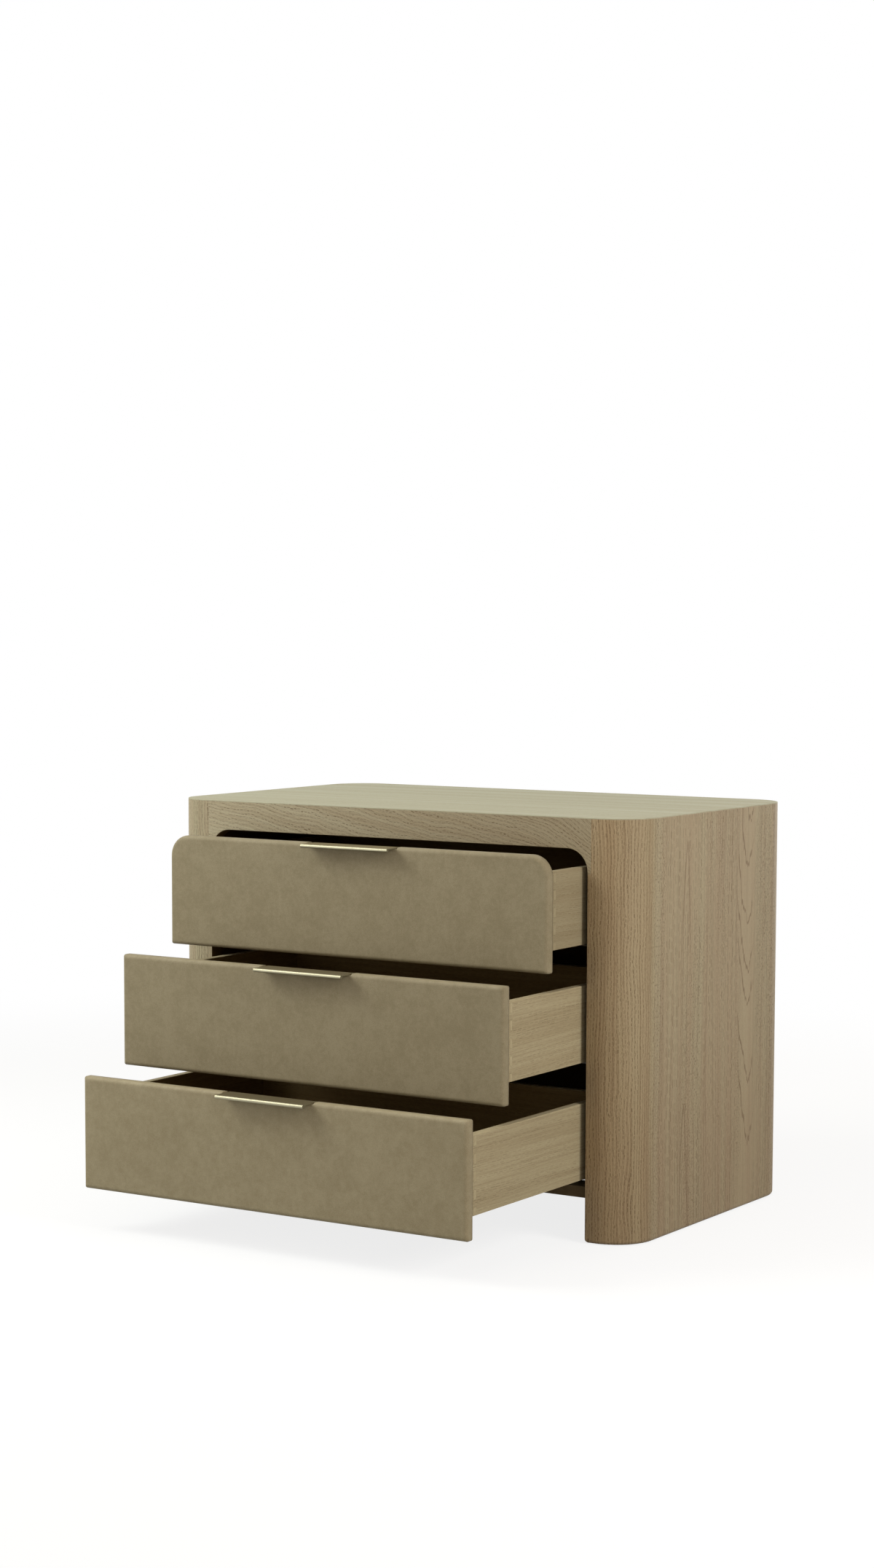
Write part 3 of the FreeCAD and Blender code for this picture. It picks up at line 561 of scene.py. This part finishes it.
def rail_oak():
    """Oak veneer whose grain runs down to the right, steeper towards the right post, painted
    lighter towards the left end.
    """
    tree = Tree("oak_slanted")
    x, y, z = tree.split(tree.place())
    bend = tree.math("MAXIMUM", tree.math("SUBTRACT", x, RAIL_BEND_FROM), 0.0)
    bend = tree.math("MULTIPLY", tree.math("POWER", bend, 2.0), RAIL_BEND)
    slope = tree.math("ADD", tree.math("MULTIPLY", x, RAIL_SLANT), bend)
    sway = tree.noise(tree.place(RAIL_SWAY))
    across = tree.math("ADD", tree.math("ADD", z, slope), tree.swing(sway, RAIL_SWING))
    grain = tree.join(across, y, x)

    bands = tree.noise(tree.place(RAIL_BANDS, source=grain), detail=3.0, rough=0.55)
    streaks = tree.noise(tree.place(RAIL_STREAKS, source=grain), rough=0.6)
    fibres = tree.noise(tree.place(FIBRES, source=grain), detail=1.0)
    main, between = rows(tree, across, x, RAIL_SEED, **RAIL_ROWS)
    second, _ = rows(tree, across, x, SECOND_RAIL_SEED, **SECOND_RAIL_ROWS)
    second = tree.math("MULTIPLY", second, SECOND_RAIL_PORES)
    pores = tree.math("MULTIPLY", tree.math("MAXIMUM", main, second), RAIL_PORES)
    colour = tree.blend(tree.span(bands, *BAND_SPAN), RAIL_LIGHT, RAIL_WARM)
    colour = tree.blend(tree.span(streaks, *RAIL_STREAK_SPAN), colour, OAK_DEEP)
    colour = tree.blend(tree.span(between, *RAIL_BETWEEN_SPAN), colour, OAK_PALE)
    colour = tree.blend(pores, colour, OAK_PORE)
    colour = tree.blend(tree.span(fibres, *FIBRE_SPAN, 0.0, VENEER_FIBRES), colour, OAK_PORE)
    # Painted light: lighter towards the left end.
    colour = tree.tint(tree.span(x, *RAIL_PAINTED_LIGHT_SPAN), colour, RAIL_LEFT_PAINTED_LIGHT)
    # Painted shade: the faces that don't look to the front get a near-black brown.
    inner = tree.span(tree.facing()[1], *RAIL_SHADE_SPAN)
    veneer_surface(tree, colour, inner, pores, streaks, deepest=0.7)
    return tree.material


def end_faces(tree):
    """1 on the faces of a box front or back that look along the depth, where painted shade goes.
    """
    return tree.span(tree.math("ABSOLUTE", tree.facing()[1]), *FACE_SPAN)


def inner_faces(tree):
    """1 on the faces of a box side that look at the middle of the box, where painted shade goes.
    """
    x = tree.split(tree.place())[0]
    return tree.span(tree.math("MULTIPLY", x, tree.facing()[0]), *BOX_SIDE_SHADE_SPAN)


def upper_faces(tree):
    """1 on the face of a box bottom that looks up, where painted shade goes."""
    return tree.span(tree.facing()[2], *FACE_SPAN)


def oak(
    name, tones, depth, gloss, turn=UPRIGHT, rough=PLAIN_ROUGH, ends=None, inside_shade=None, case_shade=False
):
    """Plain oak with its grain along the local Z of the turned coordinates.

    It can have paler ends, painted shade on the inner faces of a drawer box, and painted shade, a
    near-black brown, on the face to the front.
    """
    tree = Tree(name)
    place = tree.place(turn=turn)
    sway = tree.noise(tree.place(PLAIN_SWAY, source=place), detail=1.0, colour=True)
    sway = tree.vector("SUBTRACT", sway, (0.5, 0.5, 0.5))
    grain = tree.vector("ADD", place, tree.vector("MULTIPLY", sway, PLAIN_SWING))
    u, v, along = tree.split(grain)
    light, warm = tones
    bands = tree.noise(tree.place(PLAIN_BANDS, source=grain), detail=3.0, rough=0.55)
    streaks = tree.noise(tree.place(PLAIN_STREAKS, source=grain), rough=0.6)
    fibres = tree.noise(tree.place(FIBRES, source=grain), detail=1.0)
    zones = tree.noise(tree.place(PORE_ZONES, shift=(3.1, 1.7, 0.4), source=grain))
    slant = tree.math("ADD", u, tree.math("MULTIPLY", v, PLAIN_SLANT))
    lines, _ = rows(tree, slant, along, PLAIN_SEED, **PLAIN_ROWS)
    pores = tree.math("MULTIPLY", lines, tree.span(zones, *ZONE_SPAN, 0.5 * depth, depth))
    colour = tree.blend(tree.span(bands, *BAND_SPAN), light, warm)
    streaked = tree.span(streaks, *PLAIN_STREAK_SPAN, 0.0, 0.6 * depth)
    colour = tree.blend(streaked, colour, OAK_DEEP)
    colour = tree.blend(pores, colour, OAK_PORE)
    colour = tree.blend(tree.span(fibres, *FIBRE_SPAN, 0.0, 0.30 * depth), colour, OAK_PORE)
    if ends is not None:
        facing = tree.math("ABSOLUTE", tree.facing()["XYZ".index(ends)])
        end = tree.span(facing, *FACE_SPAN, 0.0, END_SHARE)
        colour = tree.blend(end, colour, toned((light,), END_GAIN)[0])
    # Painted shade: a near-black brown on the face that looks to the front, inside the back.
    if case_shade:
        colour = tree.blend(tree.span(tree.facing()[1], *BACK_SHADE_SPAN), colour, CASE_INSIDE_SHADE)
    # Painted shade: the faces inside a drawer box darker and browner.
    if inside_shade is not None:
        colour = tree.tint(inside_shade(tree), colour, BOX_INSIDE_SHADE)
    tree.set(Base_Color=colour, Specular_IOR_Level=gloss)
    tree.set(Roughness=tree.span(pores, 0, depth, rough, rough + PORE_ROUGHER))
    relief = tree.math("MULTIPLY", streaks, PLAIN_STREAK_RELIEF)
    relief = tree.math("SUBTRACT", relief, pores)
    tree.set(Normal=tree.bump(relief, *PLAIN_RELIEF))
    return tree.material


def leather_material(name, gain):
    """Mottled leather with a fine grain and soft edges, softest along the upper edge, its tones
    multiplied by a gain of painted light.
    """
    tree = Tree(name)
    place = tree.place()
    clouds = tree.noise(place, CLOUD_SCALE, detail=4.0, rough=0.6)
    patches = tree.place(shift=(2.3, 0.7, 1.9), source=place)
    patches = tree.noise(patches, PATCH_SCALE, detail=4.0, rough=0.62)
    spots = tree.place(shift=(0.4, 3.1, 2.2), source=place)
    spots = tree.noise(spots, SPOT_SCALE, detail=3.0, rough=0.6)
    hide = tree.cells(place, HIDE_SCALE)
    fine = tree.noise(place, FINE_SCALE)
    tone = tree.math("MULTIPLY", clouds, CLOUD_WEIGHT)
    tone = tree.math("ADD", tone, tree.math("MULTIPLY", patches, PATCH_WEIGHT))
    tone = tree.math("ADD", tone, tree.math("MULTIPLY", spots, SPOT_WEIGHT))
    colour = tree.blend(tree.span(tone, *BAND_SPAN), *toned(LEATHER_TONES, gain))
    colour = tree.blend(tree.span(hide, *HIDE_SPAN), colour, LEATHER_GRAIN)
    tree.set(Base_Color=colour, Specular_IOR_Level=LEATHER_GLOSS)
    tree.set(Roughness=tree.span(tone, *MIDDLE, *LEATHER_ROUGH))
    relief = tree.math("MULTIPLY", hide, HIDE_WEIGHT)
    relief = tree.math("ADD", relief, tree.math("MULTIPLY", fine, FINE_WEIGHT))
    tight, wide = tree.rounded(LEATHER_SOFT), tree.rounded(LEATHER_SOFT_ABOVE)
    above = tree.span(tree.split(wide)[2], *LEATHER_ABOVE_SPAN)
    soft = tree.vector("NORMALIZE", tree.blend(above, tight, wide))
    tree.set(Normal=tree.bump(relief, *LEATHER_RELIEF, after=soft))
    return tree.material


def stained_board(name, tones):
    """Stained board with streaks along the depth."""
    tree = Tree(name)
    streaks = tree.noise(tree.place(STAIN_STREAKS), detail=4.0, rough=0.6)
    tree.set(Base_Color=tree.blend(streaks, *tones), Specular_IOR_Level=STAIN_GLOSS)
    tree.set(Roughness=tree.span(streaks, *MIDDLE, *STAIN_ROUGH))
    tree.set(Normal=tree.bump(streaks, *BOARD_RELIEF))
    return tree.material


def fibre_board():
    """Raw board of pressed fibres."""
    tree = Tree("fibre_board")
    fine = tree.noise(tree.place(), BOARD_SCALE, detail=3.0)
    broad = tree.noise(tree.place(), BLOTCH_SCALE)
    colour = tree.blend(tree.span(fine, *MIDDLE), *BOARD_TONES)
    colour = tree.blend(tree.span(broad, *MIDDLE, 0.0, BLOTCH_SHARE), colour, BOARD_BLOTCH)
    tree.set(Base_Color=colour, Roughness=tree.span(fine, *MIDDLE, *BOARD_ROUGH))
    tree.set(Normal=tree.bump(fine, *BOARD_RELIEF))
    return tree.material


def brushed(name, tones, turn, rough, vary=METAL_VARY, relief=METAL_RELIEF, up_shade=None):
    """Metal with fine scratches along the local Z of the turned coordinates.

    With an up_shade tone, the faces that look up have that tone as painted shade, and the glints
    are brass.
    """
    tree = Tree(name)
    scratches = tree.noise(tree.place(SCRATCHES, turn), detail=3.0, rough=0.6)
    wear = tree.noise(tree.place(), WEAR_SCALE, detail=3.0)
    worn = tree.math("MULTIPLY", scratches, wear)
    colour = tree.blend(tree.span(worn, *WEAR_SPAN), *tones)
    if up_shade is not None:
        # Painted shade: the faces that look up get the darker tone.
        colour = tree.blend(tree.span(tree.facing()[2], *UP_SHADE_SPAN), colour, up_shade)
        tree.set(Specular_Tint=BRASS_GLINT)
    tree.set(Base_Color=colour, Metallic=1.0)
    tree.set(
        Roughness=tree.span(scratches, NOISE_LOW, NOISE_HIGH, rough - vary, rough + vary)
    )
    tree.set(Normal=tree.bump(scratches, *relief))
    return tree.material


def plastic(name, tones):
    """Moulded plastic with a fine matt grain."""
    tree = Tree(name)
    speck = tree.noise(tree.place(), PLASTIC_SCALE)
    broad = tree.noise(tree.place(), PLASTIC_TONE_SCALE)
    tree.set(Base_Color=tree.blend(tree.span(broad, *MIDDLE), *tones))
    tree.set(Roughness=tree.span(speck, *MIDDLE, *PLASTIC_ROUGH))
    tree.set(Normal=tree.bump(speck, *PLASTIC_RELIEF))
    return tree.material


def drawer_finishes(k, box_painted_light, leather_painted_light):
    """Leather and box wood of one drawer, by the start of the pieces' names, with that drawer's
    gains of painted light and shade.
    """
    drawer = f"drawer_{k}"
    box = {"tones": toned(BOX_TONES, box_painted_light), "depth": BOX_DEPTH, "gloss": BOX_GLOSS}
    return {
        f"{drawer}_front_leather": leather_material(f"taupe_leather_{k}", leather_painted_light),
        f"{drawer}_box": oak(
            f"pale_oak_across_{k}", turn=ALONG_X, ends="X", inside_shade=end_faces, **box
        ),
        f"{drawer}_side": oak(
            f"pale_oak_lengthwise_{k}", turn=ALONG_Y, ends="Y", inside_shade=inner_faces, **box
        ),
        f"{drawer}_bottom": oak(
            f"pale_oak_bottom_{k}", turn=ALONG_Y, inside_shade=upper_faces, **box
        ),
    }


# A finish belongs to the pieces whose names hold its key, and the first key that fits counts.
dark_board = stained_board("dark_stained_board", STAIN_TONES)
raw_board = fibre_board()
FINISHES = {"screws": brushed("screw_steel", STEEL_TONES, UPRIGHT, STEEL_ROUGH)}
# Painted light and shade: each drawer gets lit or shaded copies of the same leather and wood.
for k, box_painted_light, leather_painted_light in zip((1, 2, 3), BOX_PAINTED_LIGHT_GAIN, LEATHER_PAINTED_LIGHT_GAIN):
    FINISHES.update(drawer_finishes(k, box_painted_light, leather_painted_light))
FINISHES.update({
    "side_shell": shell_oak(),
    "back_panel": oak("oak_back", (OAK_LIGHT, OAK_WARM), BACK_DEPTH, BACK_GLOSS, case_shade=True),
    "top_veneer": oak("oak_across", TOP_TONES, TOP_DEPTH, TOP_GLOSS, ALONG_X, TOP_ROUGH),
    "front_rail": rail_oak(),
    "liner": dark_board,
    "base_plate": dark_board,
    "top_core": dark_board,
    "floor_panel": stained_board("brown_stained_board", BROWN_TONES),
    "blocking": raw_board,
    "front_core": raw_board,
    "pull": brushed(
        "champagne_brass", BRASS_TONES, ALONG_X, BRASS_ROUGH, BRASS_VARY, BRASS_RELIEF, BRASS_UP_SHADE
    ),
    "runners": brushed("zinc_plate", ZINC_TONES, ALONG_Y, ZINC_ROUGH),
    "lock_clips": plastic("clip_plastic", CLIP_TONES),
    "floor_glides": plastic("glide_plastic", GLIDE_TONES),
})
for name, piece in NODES.items():
    for slot in piece.material_slots:
        slot.material = next(FINISHES[key] for key in FINISHES if key in name)


def add_camera():
    data = bpy.data.cameras.new("camera")
    data.sensor_fit = "VERTICAL"
    data.sensor_height = SENSOR
    data.lens = SENSOR * FOCAL_PIXELS / IMAGE_HEIGHT
    data.shift_y = CENTRE_BELOW_MIDDLE / IMAGE_HEIGHT
    camera = bpy.data.objects.new("camera", data)
    scene.collection.objects.link(camera)
    yaw, pitch, roll = (math.radians(v) for v in (CAMERA_YAW, CAMERA_PITCH, CAMERA_ROLL))
    level = math.cos(pitch)
    forward = Vector((math.sin(yaw) * level, math.cos(yaw) * level, math.sin(pitch)))
    across = Vector((math.cos(yaw), -math.sin(yaw), 0.0))
    down = forward.cross(across)
    right = math.cos(roll) * across + math.sin(roll) * down
    down = math.cos(roll) * down - math.sin(roll) * across
    turn = Matrix((right, -down, -forward)).transposed()
    camera.matrix_world = Matrix.Translation(CAMERA_PLACE) @ turn.to_4x4()
    scene.camera = camera


def add_lamps():
    for name, (towards, distance, size, colour, level) in LAMPS.items():
        data = bpy.data.lights.new(name, "AREA")
        data.size = size
        data.color = colour
        data.energy = level * math.pi**2 * distance**2
        lamp = bpy.data.objects.new(name, data)
        scene.collection.objects.link(lamp)
        towards = Vector(towards).normalized()
        lamp.location = TARGET + distance * towards
        lamp.rotation_euler = towards.to_track_quat("Z", "Y").to_euler()


def seen(nodes, links):
    """1 for rays from the camera and for those that a shiny or a clear surface sends on."""
    path = nodes.new("ShaderNodeLightPath")
    total = path.outputs["Is Camera Ray"]
    for name in ("Is Glossy Ray", "Is Transmission Ray"):
        node = nodes.new("ShaderNodeMath")
        node.operation = "MAXIMUM"
        links.new(total, node.inputs[0])
        links.new(path.outputs[name], node.inputs[1])
        total = node.outputs[0]
    return total


def add_world():
    """A white background where it is seen, and a weak warm light for the rest."""
    world = bpy.data.worlds.new("studio")
    scene.world = world
    world.use_nodes = True
    nodes, links = world.node_tree.nodes, world.node_tree.links
    nodes.clear()
    output = nodes.new("ShaderNodeOutputWorld")
    mix = nodes.new("ShaderNodeMixShader")
    links.new(seen(nodes, links), mix.inputs[0])
    skies = ((AMBIENT_COLOUR, AMBIENT), (WHITE, 1.0))
    for socket, (colour, strength) in zip(mix.inputs[1:], skies):
        sky = nodes.new("ShaderNodeBackground")
        sky.inputs["Color"].default_value = colour
        sky.inputs["Strength"].default_value = strength
        links.new(sky.outputs[0], socket)
    links.new(mix.outputs[0], output.inputs["Surface"])


def add_floor():
    """A pale floor that shows the shadow near the object and turns plain white farther out."""
    mesh = bpy.data.meshes.new("floor")
    corners = ((-1, -1), (1, -1), (1, 1), (-1, 1))
    places = [(x * FLOOR_HALF, y * FLOOR_HALF, 0.0) for x, y in corners]
    mesh.from_pydata(places, [], [(0, 1, 2, 3)])
    floor = bpy.data.objects.new("floor", mesh)
    scene.collection.objects.link(floor)
    tree = Tree("studio_floor")
    tree.nodes.remove(tree.shader)
    shaded = tree.add("ShaderNodeBsdfDiffuse")
    bounce = tree.add("ShaderNodeBsdfDiffuse")
    white = tree.add("ShaderNodeEmission")
    for shader, tone in ((shaded, FLOOR_SEEN), (bounce, FLOOR_BOUNCE), (white, WHITE)):
        shader.inputs["Color"].default_value = tone
    away = tree.vector("LENGTH", tree.place((1, 1, 0)))
    far = tree.span(away, FLOOR_NEAR, FLOOR_FAR, FLOOR_WHITE, 1.0)
    shown = tree.add("ShaderNodeMixShader")
    tree.fill(shown, (far, shaded.outputs[0], white.outputs[0]))
    whole = tree.add("ShaderNodeMixShader")
    by_ray = seen(tree.nodes, tree.material.node_tree.links)
    tree.fill(whole, (by_ray, bounce.outputs[0], shown.outputs[0]))
    tree.link(whole.outputs[0], tree.output.inputs["Surface"])
    mesh.materials.append(tree.material)


add_camera()
add_lamps()
add_world()
add_floor()
scene.view_settings.view_transform = "Standard"
